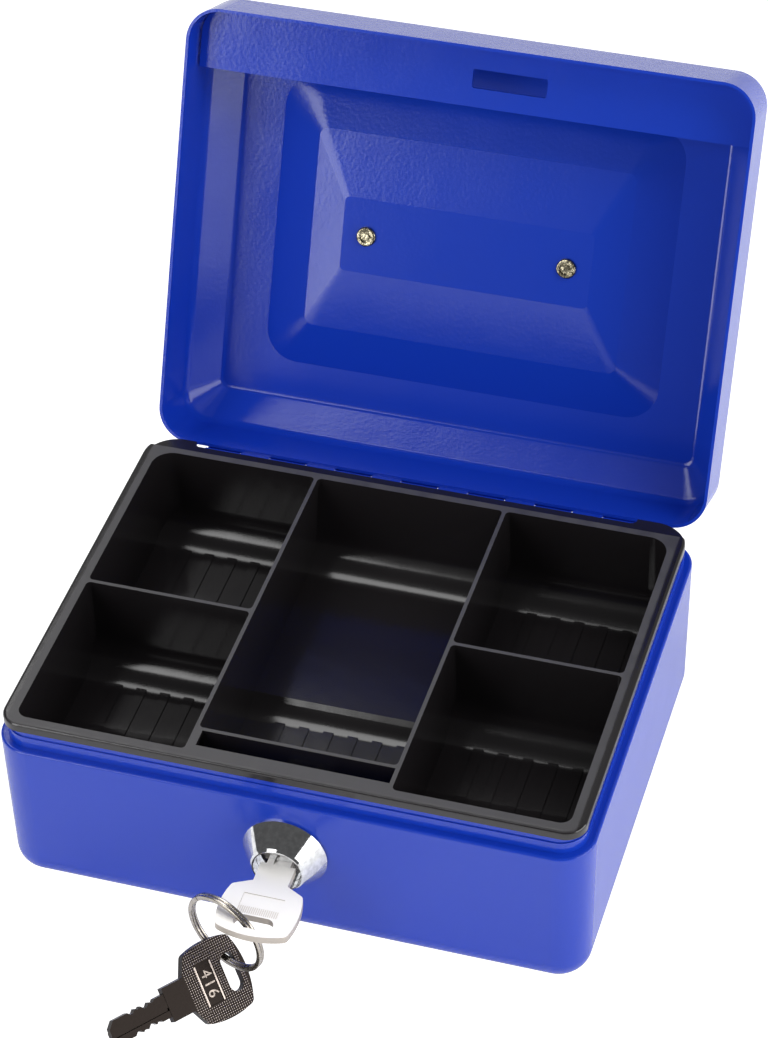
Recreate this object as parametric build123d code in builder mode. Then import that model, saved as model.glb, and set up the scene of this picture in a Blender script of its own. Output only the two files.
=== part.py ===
from build123d import *
import math
import os

# Portable safe, millimetres. X is to the right, Y to the back and Z up.
# The origin is the centre of the base's underside.
# Pieces of the lid are drawn with the lid shut and then turned open about the hinge.

# Sheet and box
SMALL = 0.1
OUTER_SHARE = 0.49
SHEET = 0.8
BOX_WIDTH = 152.0
BOX_DEPTH = 119.24
BOX_CORNER = 9.1
SIDE_DRAFT = 0.69
BASE_RADIUS = 6.5
SHOULDER_Z = 45.2
SHOULDER_ROUND = 0.7
NECK_TOP_Z = 50.7
NECK_INSET = 2.03
BEAD_Z = 48.6
BEAD_STEP = 0.3
BACK_Y = BOX_DEPTH / 2

# Lid, shut
RIM_Z = 45.6
BEND_START = 16.8
BEND_RADIUS = 4.4
BEVEL_ANGLE = 45.0
BORDER_HEIGHT = 26.8
CREASE_RADIUS = 1.6
CORNER_FALL = 0.7
RIM_CUT = 1.0
RECESS_OUTLINE = (110.4, 80.2, 9.0)
RECESS_STEP = (87.4, 55.0, 2.5)
RECESS_FLAT = (69.0, 20.6, 1.5)
RECESS_STEP_HEIGHT = 22.5
RECESS_FLAT_HEIGHT = 20.3

# Hinge
HINGE_Y = 61.79
HINGE_Z = 44.07
OPEN_ANGLE = 112.76
HINGE_CENTRE_X = -1.2
KNUCKLE_PITCH = 18.5
KNUCKLE_RADIUS = HINGE_Y - BACK_Y
PIN_RADIUS = 1.27
PIN_CLEARANCE = 0.05
BASE_KNUCKLES = 7
BASE_KNUCKLE_WIDTH = 9.7
LID_KNUCKLE_WIDTH = 8.0
LEAF_GAP = 0.4
LEAF_LOW_Z = 32.0
LEAF_HIGH_Z = 54.2
HINGE_LENGTH = (BASE_KNUCKLES - 1) * KNUCKLE_PITCH + BASE_KNUCKLE_WIDTH
PIN_OVERHANG = 1.2
PIN_CHAMFER = 0.3
HINGE_AXIS = Axis((0, HINGE_Y, HINGE_Z), (1, 0, 0))

# Latch ledge in the lid, shut
LEDGE_Z = 53.9
LEDGE_BACK_Y = -42.0
LEDGE_FLANGE_TOP_Z = 58.5
LEDGE_BEND = 1.4
LEDGE_WIDTH = 148.8
LEDGE_CORNER = 7.5
LEDGE_FLANGE_HALF = 66.0
SLOT_CORNER = 0.6
SLOT_LEFT_X = 0.0
SLOT_RIGHT_X = 20.0
SLOT_FRONT_Y = -52.0
SLOT_BACK_Y = -47.0

# Carrying handle, lid shut
POST_SPACING = 55.5
POST_SHANK_RADIUS = 1.9
POST_HEAD_RADIUS = 2.7
POST_HEAD_HEIGHT = 0.9
POST_HEAD_ROUND = 0.5
POST_BOSS_RADIUS = 0.9
POST_GROOVE_RADIUS = 1.7
POST_GROOVE_DEPTH = 0.5
POST_FOOT_RADIUS = 4.6
POST_FOOT_HEIGHT = 1.2
POST_THICKNESS = 4.0
EYE_RADIUS = 4.1
BAIL_RADIUS = 2.25
BAIL_CLEARANCE = 0.08
BAIL_REACH = 25.5
BAIL_ARM_X = 34.0
BAIL_END_X = 24.6
BAIL_TURN_RADIUS = 4.5
BAIL_AXIS_HEIGHT = 5.3
RECESS_FLOOR_Z = RIM_Z + RECESS_FLAT_HEIGHT + SHEET
BAIL_AXIS_Z = RECESS_FLOOR_Z + BAIL_AXIS_HEIGHT

# Coin tray
TRAY_WALL = 1.2
DIVIDER = 1.0
TRAY_TOP_Z = 53.2
TRAY_HALF_WIDTH = 74.2
TRAY_FRONT_Y = -58.0
TRAY_BACK_Y = 58.2
TRAY_FRONT_CORNER = 5.5
TRAY_BACK_CORNER = 9.0
BACK_FLANGE_Z = 51.6
HINGE_NOTCH_Y = 56.2
HINGE_NOTCH_ROUND = 1.5
HINGE_NOTCH_GAP = 0.5
LIP_THICKNESS = 1.2
RIM_UNDERSIDE_Z = 52.0
RIM_EDGE_ROUND = 0.9
RIDGE_Y = 52.4
BIN_BACK_Y = 50.4
BIN_FRONT_Y = -55.0
BIN_SIDE_X = 70.3
COLUMN_X = 25.8
LEFT_DIVIDER_Y = -3.6
RIGHT_DIVIDER_Y = -1.8
SIDE_FLOOR_Z = 25.3
CENTRE_BACK_FLOOR_Z = 29.0
CENTRE_FRONT_FLOOR_Z = 25.5
CENTRE_BACK_FOOT_Y = 45.3
CENTRE_STEP_BACK_Y = -7.8
CENTRE_STEP_FRONT_Y = -11.3
CENTRE_STEP_ROUND = 8.0
CENTRE_RIB_BACK_Y = -14.0
CENTRE_FRONT_Y = -46.9
BIN_BACK_ROUND = 10.0
BIN_FRONT_ROUND = 12.0
SCOOP_TOP_Z = 50.6
SCOOP_SLOPE = 48.0
INNER_CORNER = 1.2
OUTER_BACK_CORNER = 5.5
OUTER_FRONT_CORNER = 3.0
RIB_PITCH = 6.5
RIB_WIDTH = 2.7
RIB_HEIGHT = 0.35
RIB_TOP_Z = 48.5
RIB_RISE_INTO_BEND = 2.5
TRAY_SLOT_LEFT_X = -24.0
TRAY_SLOT_RIGHT_X = 25.2
TRAY_SLOT_FRONT_Y = -53.1
TRAY_SLOT_BACK_Y = CENTRE_FRONT_Y - DIVIDER
ABOVE = 10.0

# Lock
LOCK_Z = 28.8
LOCK_WALL_Y = -59.0
BEZEL_WALL_RADIUS = 10.85
BEZEL_FRONT_RADIUS = 7.05
BEZEL_FRONT_Y = -66.2
BEZEL_EDGE = 0.5
BEZEL_FOOT = 1.0
MOUTH_RADIUS = 6.25
PLUG_HEAD_RADIUS = 6.18
PLUG_FACE_Y = -63.5
PLUG_SEAT_Y = -62.5
BARREL_RADIUS = 7.25
HOLE_GAP = 0.1
BARREL_END_Y = -52.3
BORE_RADIUS = 5.6
PLUG_RADIUS = 5.53
PLUG_BODY_END_Y = -53.0
TAIL_RADIUS = 4.6
TAIL_HALF_FLAT = 3.3
TAIL_END_Y = -48.95
TAIL_GROOVE = 0.6
KEYED_GAP = 0.03
STOP_RIM_END_Y = -51.6
STOP_RIM_INNER_RADIUS = 6.3
WASHER_FRONT_Y = -52.2
WASHER_THICKNESS = 0.7
WASHER_RADIUS = 5.9
WASHER_TAB_RADIUS = 7.2
WASHER_TAB_WIDTH = 3.0
WASHER_TAB_ANGLE = 225.0
STOP_SECTOR_LOW = 209.0
STOP_SECTOR_SWEEP = 122.0
NUT_FRONT_Y = -58.6
NUT_THICKNESS = 3.0
NUT_FLATS = 19.0
NUT_GAP = 0.02
BARREL_FLAT = 6.6

# Wafers
WAFER_COUNT = 4
WAFER_PITCH = 2.0
WAFER_FIRST_Y = -61.0
WAFER_THICKNESS = 1.0
WAFER_HALF_HEIGHT = 3.5
WAFER_END_RADIUS = 5.45
WAFER_TRAVEL = 0.6
WAFER_WINDOW_HALF = 3.45
WAFER_WINDOW_HEIGHT = 2.4
WAFER_FOOT_X = 1.5
WAFER_FOOT_WIDTH = 0.8
WAFER_FOOT_LOW = -4.5
SPRING_RADIUS = 0.45
SPRING_LENGTH = 2.4
SPRING_Z = -4.0
WAFER_GAP = 0.03
POCKET_SHIFT = 0.9
POCKET_LENGTH = 4.4
GROOVE_RADIUS = 6.75
GROOVE_HALF_HEIGHT = 3.6
CROSS_GROOVE_RADIUS = 6.15
GROOVE_END_GAP = 0.3

# Hook cam, outline as it stands when locked: up is away from the lock axis
CAM_FRONT_Y = -51.2
CAM_THICKNESS = 1.5
CAM_HUB_RADIUS = 7.6
CAM_ARM_LEFT = 1.0
CAM_ARM_RIGHT = 8.0
CAM_BEAK_INNER = 26.7
CAM_BEAK_OUTER = 29.0
CAM_BEAK_LEFT = -4.6
CAM_BEAK_TAPER = 0.6
CAM_SHOULDER = 2.0
CAM_WAIST_HEIGHT = 12.0
CLIP_FRONT_Y = -49.65
CLIP_THICKNESS = 0.5
CLIP_RADIUS = 5.9

# Keys, drawn flat with the bow towards +Y and the blade towards -Y
KEY_THICKNESS = 2.0
BOW_HALF = 9.0
BOW_BULGE_HALF = 10.04
BOW_LENGTH = 17.6
BOW_FAR_BULGE = 1.83
BOW_NEAR_DEPTH = 2.33
BOW_ROUND = 1.6
STEM_HALF = 4.4
STEM_LENGTH = 6.2
BLADE_HALF = 3.0
BLADE_LENGTH = 16.7
BLADE_THICKNESS = 1.8
BLADE_TIP = 1.8
BLADE_GROOVE_X = 0.9
BLADE_GROOVE_WIDTH = 0.8
BLADE_GROOVE_DEPTH = 0.4
BOW_HOLE_LENGTH = 9.9
BOW_HOLE_HEIGHT = 4.0
BOW_HOLE_S = 13.3
PANEL_S = 6.45
PANEL_WIDTH = 10.4
PANEL_HEIGHT = 4.1
PANEL_DEPTH = 0.2
BITTING = (0.5, 0.9, 0.3, 0.7)
BITTING_PITCH = 2.0
BITTING_FIRST = 3.6
BITTING_FLAT = 0.8
BITTING_OVERCUT = 0.2
KEY_JUNCTION_Y = -71.3
KEYWAY_HALF_WIDTH = 3.1
KEYWAY_HEIGHT = 2.0

# Ring and spare key as they hang
RING_CENTRE = (-8.27, -81.91, 21.1)
RING_NORMAL = (0.378, 0.925, 0.045)
RING_RADIUS = 10.9
RING_THICKNESS = 1.3
RING_WIDTH = 1.7
RING_JOIN = 0.06
RING_EDGE = 0.3
RING_END_ANGLES = (200.0, 225.0)
RING_END_GAP = 0.25
SPARE_CENTRE = (-9.96, -86.92, 8.88)
SPARE_AZIMUTH = 56.2
SPARE_RISE = -6.0
SPARE_ROLL = -48.5


def opened(part):
    """A piece of the lid, turned from shut to open about the hinge."""
    return part.rotate(HINGE_AXIS, -OPEN_ANGLE)


def export(part, name):
    part.label = name
    export_step(part, f"parts/{name}.step")


def rounded_box_plan(inset):
    """Plan of the box, smaller by inset on every side."""
    return RectangleRounded(BOX_WIDTH - 2 * inset, BOX_DEPTH - 2 * inset, BOX_CORNER - inset)


def base_form(inset, floor, shoulder, top):
    """The pan as a closed block, smaller than the outside by inset on every side."""
    with BuildPart() as form:
        with BuildSketch(Plane.XY.offset(floor)):
            rounded_box_plan(inset + SIDE_DRAFT)
        with BuildSketch(Plane.XY.offset(shoulder)):
            rounded_box_plan(inset)
        loft(ruled=True)
        fillet(form.edges().group_by(Axis.Z)[0], BASE_RADIUS - inset)
        with BuildSketch(Plane.XY.offset(shoulder)):
            rounded_box_plan(inset + NECK_INSET)
        extrude(amount=BEAD_Z - shoulder)
        with BuildSketch(Plane.XY.offset(BEAD_Z)):
            rounded_box_plan(inset + NECK_INSET + BEAD_STEP)
        extrude(amount=top - BEAD_Z)
    return form.part


def lid_form(skin):
    """The lid as a closed block: skin is 0 for the outside and one sheet for the inside."""
    bend = BEND_RADIUS + SHEET - skin
    top = BORDER_HEIGHT + SHEET - skin
    start = RIM_Z - RIM_CUT if skin else RIM_Z

    def size(inset):
        corner = BOX_CORNER - skin - CORNER_FALL * (inset - skin)
        return BOX_WIDTH - 2 * inset, BOX_DEPTH - 2 * inset, corner

    def on_bend(angle):
        turn = math.radians(angle)
        inset = BEND_RADIUS + SHEET - bend * math.cos(turn)
        return inset, BEND_START + bend * math.sin(turn)

    bevel_inset, bevel_start = on_bend(BEVEL_ANGLE)
    crease_inset = bevel_inset + (top - bevel_start) * math.tan(math.radians(BEVEL_ANGLE))
    with BuildPart() as form:
        with BuildSketch(Plane.XY.offset(start)):
            RectangleRounded(*size(skin))
        extrude(amount=RIM_Z + BEND_START - start)
        for angle in (0, BEVEL_ANGLE / 3, 2 * BEVEL_ANGLE / 3, BEVEL_ANGLE):
            inset, height = on_bend(angle)
            with BuildSketch(Plane.XY.offset(RIM_Z + height)):
                RectangleRounded(*size(inset))
        loft()
        for inset, height in ((bevel_inset, bevel_start), (crease_inset, top)):
            with BuildSketch(Plane.XY.offset(RIM_Z + height)):
                RectangleRounded(*size(inset))
        loft(ruled=True)
        fillet(form.edges().group_by(Axis.Z)[-1], CREASE_RADIUS + SHEET - skin)
    return form.part


def recess_form(lift):
    """The pressed handle recess as a block that reaches above the lid."""
    with BuildPart() as form:
        with BuildSketch(Plane.XY.offset(RIM_Z + RECESS_FLAT_HEIGHT + lift)):
            RectangleRounded(*RECESS_FLAT)
        with BuildSketch(Plane.XY.offset(RIM_Z + RECESS_STEP_HEIGHT + lift)):
            RectangleRounded(*RECESS_STEP)
        loft(ruled=True)
        with BuildSketch(Plane.XY.offset(RIM_Z + RECESS_STEP_HEIGHT + lift)):
            RectangleRounded(*RECESS_STEP)
        with BuildSketch(Plane.XY.offset(RIM_Z + BORDER_HEIGHT + lift)):
            RectangleRounded(*RECESS_OUTLINE)
        loft(ruled=True)
        with BuildSketch(Plane.XY.offset(RIM_Z + BORDER_HEIGHT + lift)):
            RectangleRounded(*RECESS_OUTLINE)
        extrude(amount=ABOVE)
    return form.part


def bin_section(front, back, floor, top, grow, scooped):
    """Side view of one compartment: Y across, Z up. grow widens it by a wall."""
    low = floor - grow
    front_line = front - grow
    foot = front_line
    outline = [(back + grow, top), (back + grow, low)]
    if scooped:
        slope = math.radians(SCOOP_SLOPE)
        shift = grow / math.sin(slope) - grow
        foot = front_line - shift + (SCOOP_TOP_Z - low) / math.tan(slope)
        outline += [(foot, low), (front_line, SCOOP_TOP_Z - shift * math.tan(slope))]
    else:
        outline.append((foot, low))
    outline.append((front_line, top))
    with BuildSketch(Plane.YZ) as section:
        with BuildLine():
            Polyline(*outline, close=True)
        make_face()
        fillet(section.vertices().group_by(Axis.Y)[0].sort_by(Axis.X)[-1], BIN_BACK_ROUND + grow)
        fillet(section.vertices().group_by(Axis.Y)[0].sort_by(Axis.X)[0], BIN_FRONT_ROUND + grow)
    return section.sketch


def bin_corner(x, y):
    """Radius in plan of a compartment's corner: larger where it is a corner of the tray."""
    if abs(x) < BIN_SIDE_X - 1:
        return INNER_CORNER
    if y > BIN_BACK_Y - 1:
        return OUTER_BACK_CORNER
    if y < BIN_FRONT_Y + 1:
        return OUTER_FRONT_CORNER
    return INNER_CORNER


def bin_block(left, right, front, back, grow, scooped):
    """One compartment as a solid; grow 0 is its hollow and grow one wall is its outside."""
    top = TRAY_TOP_Z if grow else TRAY_TOP_Z + ABOVE
    section = bin_section(front, back, SIDE_FLOOR_Z, top, grow, scooped)
    corners = [(x, y) for x in (left - grow, right + grow) for y in (front - grow, back + grow)]
    with BuildPart() as block:
        placed = Location((left - grow, 0, 0)) * section
        extrude(placed, amount=right - left + 2 * grow, dir=(1, 0, 0))
        with BuildSketch(Plane.XY.offset(SIDE_FLOOR_Z - 2 * TRAY_WALL)) as plan:
            with Locations(((left + right) / 2, (front + back) / 2)):
                Rectangle(right - left + 2 * grow, back - front + 2 * grow)
            for x, y in corners:
                fillet(plan.vertices().sort_by_distance(Vector(x, y))[0], bin_corner(x, y) + grow)
        extrude(amount=top - SIDE_FLOOR_Z + 2 * TRAY_WALL, mode=Mode.INTERSECT)
    return block.part


def rib_places(left, right):
    """Left edges of the ribs across a compartment."""
    count = math.floor((right - left - 2 * RIB_WIDTH) / RIB_PITCH)
    middle = (left + right) / 2
    return [middle + (i - (count - 1) / 2) * RIB_PITCH - RIB_WIDTH / 2 for i in range(count)]


def bin_ribs(left, right, front, back, scooped):
    """Low ribs along the floor of one compartment and up its scoop, rooted in its walls."""
    rooted = bin_section(front, back, SIDE_FLOOR_Z, TRAY_TOP_Z, TRAY_WALL / 2, scooped)
    bare = bin_section(front, back, SIDE_FLOOR_Z, TRAY_TOP_Z, -RIB_HEIGHT, scooped)
    rib_back = back - BIN_BACK_ROUND + RIB_RISE_INTO_BEND
    rib_front = front if scooped else front + BIN_FRONT_ROUND - RIB_RISE_INTO_BEND
    low = SIDE_FLOOR_Z - TRAY_WALL
    with BuildSketch(Plane.YZ) as limit:
        with Locations(((rib_front + rib_back) / 2, (low + RIB_TOP_Z) / 2)):
            Rectangle(rib_back - rib_front, RIB_TOP_Z - low)
    section = (rooted - bare) & limit.sketch
    with BuildPart() as ribs:
        for x in rib_places(left, right):
            extrude(Location((x, 0, 0)) * section, amount=RIB_WIDTH, dir=(1, 0, 0))
    return ribs.part


def centre_block(grow):
    """The middle compartment, whose floor steps down towards the front."""
    top = TRAY_TOP_Z if grow else TRAY_TOP_Z + ABOVE
    back = BIN_BACK_Y + grow
    wall = DIVIDER if grow else 0
    front = CENTRE_FRONT_Y - wall
    half = COLUMN_X - DIVIDER / 2 + wall
    with BuildPart() as block:
        with BuildSketch(Plane.YZ.offset(-half)) as section:
            with BuildLine():
                Polyline(
                    (back, top + SMALL),
                    (back, TRAY_TOP_Z),
                    (CENTRE_BACK_FOOT_Y + grow, CENTRE_BACK_FLOOR_Z - grow),
                    (CENTRE_STEP_BACK_Y - grow, CENTRE_BACK_FLOOR_Z - grow),
                    (CENTRE_STEP_FRONT_Y - grow, CENTRE_FRONT_FLOOR_Z - grow),
                    (front, CENTRE_FRONT_FLOOR_Z - grow),
                    (front, top + SMALL),
                    close=True,
                )
            make_face()
            back_foot = Vector(CENTRE_BACK_FOOT_Y + grow, CENTRE_BACK_FLOOR_Z - grow)
            fillet(section.vertices().sort_by_distance(back_foot)[0], BIN_BACK_ROUND + grow)
            step_foot = Vector(CENTRE_STEP_FRONT_Y - grow, CENTRE_FRONT_FLOOR_Z - grow)
            fillet(section.vertices().sort_by_distance(step_foot)[0], CENTRE_STEP_ROUND)
        extrude(amount=2 * half)
        with BuildSketch(Plane.XY.offset(CENTRE_FRONT_FLOOR_Z - 2 * TRAY_WALL)):
            with Locations((0, (front + back) / 2)):
                RectangleRounded(2 * half, back - front, INNER_CORNER + grow)
        extrude(amount=top - CENTRE_FRONT_FLOOR_Z + 2 * TRAY_WALL, mode=Mode.INTERSECT)
    return block.part


def centre_ribs():
    """Low ribs on the lower, front floor of the middle compartment."""
    half = COLUMN_X - DIVIDER / 2
    front = CENTRE_FRONT_Y - DIVIDER / 2
    low = CENTRE_FRONT_FLOOR_Z - TRAY_WALL / 2
    with BuildPart() as ribs:
        with BuildSketch(Plane.XY.offset(low)):
            for x in rib_places(-half, half):
                with Locations((x + RIB_WIDTH / 2, (front + CENTRE_RIB_BACK_Y) / 2)):
                    Rectangle(RIB_WIDTH, CENTRE_RIB_BACK_Y - front)
        extrude(amount=TRAY_WALL / 2 + RIB_HEIGHT)
    return ribs.part


def lock_plane(y):
    """Plane across the lock axis at y, seen from the front: X right, Z up."""
    return Plane(origin=(0, y, LOCK_Z), x_dir=(1, 0, 0), z_dir=(0, -1, 0))


def bitting_cut(side, along, depth):
    """Outline of a notch in an edge of the blade: side is -1 on the left and 1 on the right."""
    edge = BLADE_HALF + BITTING_OVERCUT
    reach = depth + BITTING_OVERCUT
    with BuildLine(mode=Mode.PRIVATE) as notch:
        Polyline(
            (side * (BLADE_HALF - depth), along - BITTING_FLAT / 2),
            (side * (BLADE_HALF - depth), along + BITTING_FLAT / 2),
            (side * edge, along + BITTING_FLAT / 2 + reach),
            (side * edge, along - BITTING_FLAT / 2 - reach),
            close=True,
        )
    return notch.edges()


def bow_outline():
    """Outline of the bow and stem."""
    far = BOW_LENGTH - BOW_FAR_BULGE
    middle = (BOW_NEAR_DEPTH + far) / 2
    with BuildLine(mode=Mode.PRIVATE) as outline:
        Line((-STEM_HALF, 0), (-BOW_HALF, BOW_NEAR_DEPTH))
        ThreePointArc((-BOW_HALF, BOW_NEAR_DEPTH), (-BOW_BULGE_HALF, middle), (-BOW_HALF, far))
        ThreePointArc((-BOW_HALF, far), (0, BOW_LENGTH), (BOW_HALF, far))
        ThreePointArc((BOW_HALF, far), (BOW_BULGE_HALF, middle), (BOW_HALF, BOW_NEAR_DEPTH))
        Line((BOW_HALF, BOW_NEAR_DEPTH), (STEM_HALF, 0))
        Line((STEM_HALF, 0), (STEM_HALF, -STEM_LENGTH))
        Line((STEM_HALF, -STEM_LENGTH), (-STEM_HALF, -STEM_LENGTH))
        Line((-STEM_HALF, -STEM_LENGTH), (-STEM_HALF, 0))
    return outline.edges()


def key_blank():
    """A flat key in its own plane: bow towards +Y, junction of bow and stem at the origin."""
    blade_end = -STEM_LENGTH - BLADE_LENGTH
    with BuildPart() as key:
        with BuildSketch(Plane.XY.offset(-KEY_THICKNESS / 2)) as bow:
            make_face(bow_outline())
            fillet([v for v in bow.vertices() if abs(v.X) > BOW_HALF - SMALL], BOW_ROUND)
            with Locations((0, BOW_HOLE_S)):
                SlotOverall(BOW_HOLE_LENGTH, BOW_HOLE_HEIGHT, mode=Mode.SUBTRACT)
        extrude(amount=KEY_THICKNESS)
        with BuildSketch(Plane.XY.offset(-BLADE_THICKNESS / 2)) as blade:
            with Locations((0, -STEM_LENGTH - BLADE_LENGTH / 2)):
                Rectangle(2 * BLADE_HALF, BLADE_LENGTH)
            chamfer([v for v in blade.vertices() if v.Y < blade_end + SMALL], BLADE_TIP)
            for index, depth in enumerate(BITTING):
                for side in (-1, 1):
                    along = -STEM_LENGTH - BITTING_FIRST - index * BITTING_PITCH
                    make_face(bitting_cut(side, along, depth), mode=Mode.SUBTRACT)
        extrude(amount=BLADE_THICKNESS)
        for side in (-1, 1):
            with BuildSketch(Plane.XY.offset(side * (KEY_THICKNESS / 2 - PANEL_DEPTH))):
                with Locations((0, PANEL_S)):
                    Rectangle(PANEL_WIDTH, PANEL_HEIGHT)
            extrude(amount=side * PANEL_DEPTH, mode=Mode.SUBTRACT)
            with BuildSketch(Plane.XY.offset(side * (BLADE_THICKNESS / 2 - BLADE_GROOVE_DEPTH))):
                with Locations((side * BLADE_GROOVE_X, -STEM_LENGTH - BLADE_LENGTH / 2)):
                    Rectangle(BLADE_GROOVE_WIDTH, BLADE_LENGTH)
            extrude(amount=side * BLADE_GROOVE_DEPTH, mode=Mode.SUBTRACT)
    return key.part


def hinge_leaf(places, width, plate_end, sign):
    """A leaf outside the rear wall: sign -1 runs down from the pin and +1 runs up."""
    plate_start = HINGE_Z + sign * (KNUCKLE_RADIUS + LEAF_GAP)
    plate_mid = (plate_start + plate_end) / 2
    inner_y = BACK_Y if sign > 0 else BACK_Y - SIDE_DRAFT
    outer_y = BACK_Y + SHEET
    with BuildPart() as leaf:
        with BuildSketch(Plane.YZ.offset(HINGE_CENTRE_X - HINGE_LENGTH / 2)):
            with Locations(((inner_y + outer_y) / 2, plate_mid)):
                Rectangle(outer_y - inner_y, abs(plate_end - plate_start))
        extrude(amount=HINGE_LENGTH)
        for place in places:
            with BuildSketch(Plane.YZ.offset(place - width / 2)):
                with Locations((HINGE_Y, HINGE_Z)):
                    Circle(KNUCKLE_RADIUS)
                with Locations((BACK_Y + SHEET / 2, (HINGE_Z + plate_start) / 2)):
                    Rectangle(SHEET, abs(plate_start - HINGE_Z))
                with Locations((HINGE_Y, HINGE_Z)):
                    Circle(PIN_RADIUS + PIN_CLEARANCE, mode=Mode.SUBTRACT)
            extrude(amount=width)
    return leaf.part


def handle_post(side):
    """One post, lid shut: side is -1 on the left and 1 on the right."""
    x = side * POST_SPACING / 2
    head_z = RIM_Z + RECESS_FLAT_HEIGHT
    with BuildPart() as post:
        with BuildSketch(Plane.XY.offset(head_z - POST_HEAD_HEIGHT)):
            with Locations((x, 0)):
                Circle(POST_HEAD_RADIUS)
        extrude(amount=POST_HEAD_HEIGHT)
        fillet(post.edges().group_by(Axis.Z)[0], POST_HEAD_ROUND)
        with BuildSketch(Plane.XY.offset(head_z - POST_HEAD_HEIGHT)):
            with Locations((x, 0)):
                Circle(POST_GROOVE_RADIUS)
                Circle(POST_BOSS_RADIUS, mode=Mode.SUBTRACT)
        extrude(amount=POST_GROOVE_DEPTH, mode=Mode.SUBTRACT)
        with BuildSketch(Plane.XY.offset(head_z)):
            with Locations((x, 0)):
                Circle(POST_SHANK_RADIUS)
        extrude(amount=SHEET)
        with BuildSketch(Plane.XY.offset(RECESS_FLOOR_Z)):
            with Locations((x, 0)):
                Circle(POST_FOOT_RADIUS)
        extrude(amount=POST_FOOT_HEIGHT)
        with BuildSketch(Plane.YZ.offset(x - POST_THICKNESS / 2)):
            with Locations((0, BAIL_AXIS_Z)):
                Circle(EYE_RADIUS)
            with Locations((0, (RECESS_FLOOR_Z + BAIL_AXIS_Z) / 2)):
                Rectangle(2 * EYE_RADIUS, BAIL_AXIS_HEIGHT)
        extrude(amount=POST_THICKNESS)
        with BuildSketch(Plane.YZ.offset(x - POST_FOOT_RADIUS)):
            with Locations((0, BAIL_AXIS_Z)):
                Circle(BAIL_RADIUS + BAIL_CLEARANCE)
        extrude(amount=2 * POST_FOOT_RADIUS, mode=Mode.SUBTRACT)
    return post.part


def bail_axis():
    """A point on the handle's swing axis, with the lid open."""
    turn = math.radians(OPEN_ANGLE)
    y = -HINGE_Y
    z = BAIL_AXIS_Z - HINGE_Z
    return (
        HINGE_Y + y * math.cos(turn) + z * math.sin(turn),
        HINGE_Z - y * math.sin(turn) + z * math.cos(turn),
    )


def handle_bail():
    """The carrying handle, hanging straight down from its posts with the lid open."""
    y, z = bail_axis()
    with BuildPart() as bail:
        with BuildLine(Plane.XZ.offset(-y)) as route:
            FilletPolyline(
                (-BAIL_END_X, z),
                (-BAIL_ARM_X, z),
                (-BAIL_ARM_X, z - BAIL_REACH),
                (BAIL_ARM_X, z - BAIL_REACH),
                (BAIL_ARM_X, z),
                (BAIL_END_X, z),
                radius=BAIL_TURN_RADIUS,
            )
        with BuildSketch(Plane(origin=(-BAIL_END_X, y, z), z_dir=(-1, 0, 0))):
            Circle(BAIL_RADIUS)
        sweep(path=route.wires()[0])
    return bail.part


def tray_bins():
    """Limits in X and Y of the four side compartments, and whether each has a scoop."""
    side_left = COLUMN_X + DIVIDER / 2
    bins = []
    for low, high, divider in (
        (-BIN_SIDE_X, -side_left, LEFT_DIVIDER_Y),
        (side_left, BIN_SIDE_X, RIGHT_DIVIDER_Y),
    ):
        bins.append((low, high, divider + DIVIDER / 2, BIN_BACK_Y, False))
        bins.append((low, high, BIN_FRONT_Y, divider - DIVIDER / 2, True))
    return bins


def tray_rim():
    """The tray's flat rim with its turned-down lip, its lower back flange and the hinge notch."""
    notch_left = HINGE_CENTRE_X - HINGE_LENGTH / 2 - HINGE_NOTCH_GAP
    notch_right = HINGE_CENTRE_X + HINGE_LENGTH / 2 + HINGE_NOTCH_GAP
    pocket_back = BIN_BACK_Y + TRAY_WALL
    pocket_front = TRAY_FRONT_Y + LIP_THICKNESS
    with BuildPart() as rim:
        with BuildSketch(Plane.XY.offset(NECK_TOP_Z)) as outline:
            with Locations((0, (TRAY_FRONT_Y + TRAY_BACK_Y) / 2)):
                Rectangle(2 * TRAY_HALF_WIDTH, TRAY_BACK_Y - TRAY_FRONT_Y)
            fillet(outline.vertices().group_by(Axis.Y)[-1], TRAY_BACK_CORNER)
            fillet(outline.vertices().group_by(Axis.Y)[0], TRAY_FRONT_CORNER)
        extrude(amount=TRAY_TOP_Z - NECK_TOP_Z)
        fillet(rim.edges().group_by(Axis.Z)[-1], RIM_EDGE_ROUND)
        with BuildSketch(Plane.XY.offset(BACK_FLANGE_Z)):
            with Locations((0, (RIDGE_Y + TRAY_BACK_Y) / 2)):
                Rectangle(2 * TRAY_HALF_WIDTH, TRAY_BACK_Y - RIDGE_Y)
        extrude(amount=TRAY_TOP_Z, mode=Mode.SUBTRACT)
        with BuildSketch(Plane.XY.offset(NECK_TOP_Z)) as notch:
            with Locations(((notch_left + notch_right) / 2, HINGE_NOTCH_Y + ABOVE / 2)):
                Rectangle(notch_right - notch_left, ABOVE)
            fillet(notch.vertices().group_by(Axis.Y)[0], HINGE_NOTCH_ROUND)
        extrude(amount=TRAY_TOP_Z, mode=Mode.SUBTRACT)
        with BuildSketch(Plane.XY.offset(NECK_TOP_Z)) as pocket:
            with Locations((0, (pocket_front + pocket_back) / 2)):
                Rectangle(2 * (TRAY_HALF_WIDTH - LIP_THICKNESS), pocket_back - pocket_front)
            fillet(pocket.vertices().group_by(Axis.Y)[0], TRAY_FRONT_CORNER - LIP_THICKNESS)
        extrude(amount=RIM_UNDERSIDE_Z - NECK_TOP_Z, mode=Mode.SUBTRACT)
    return rim.part


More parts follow.
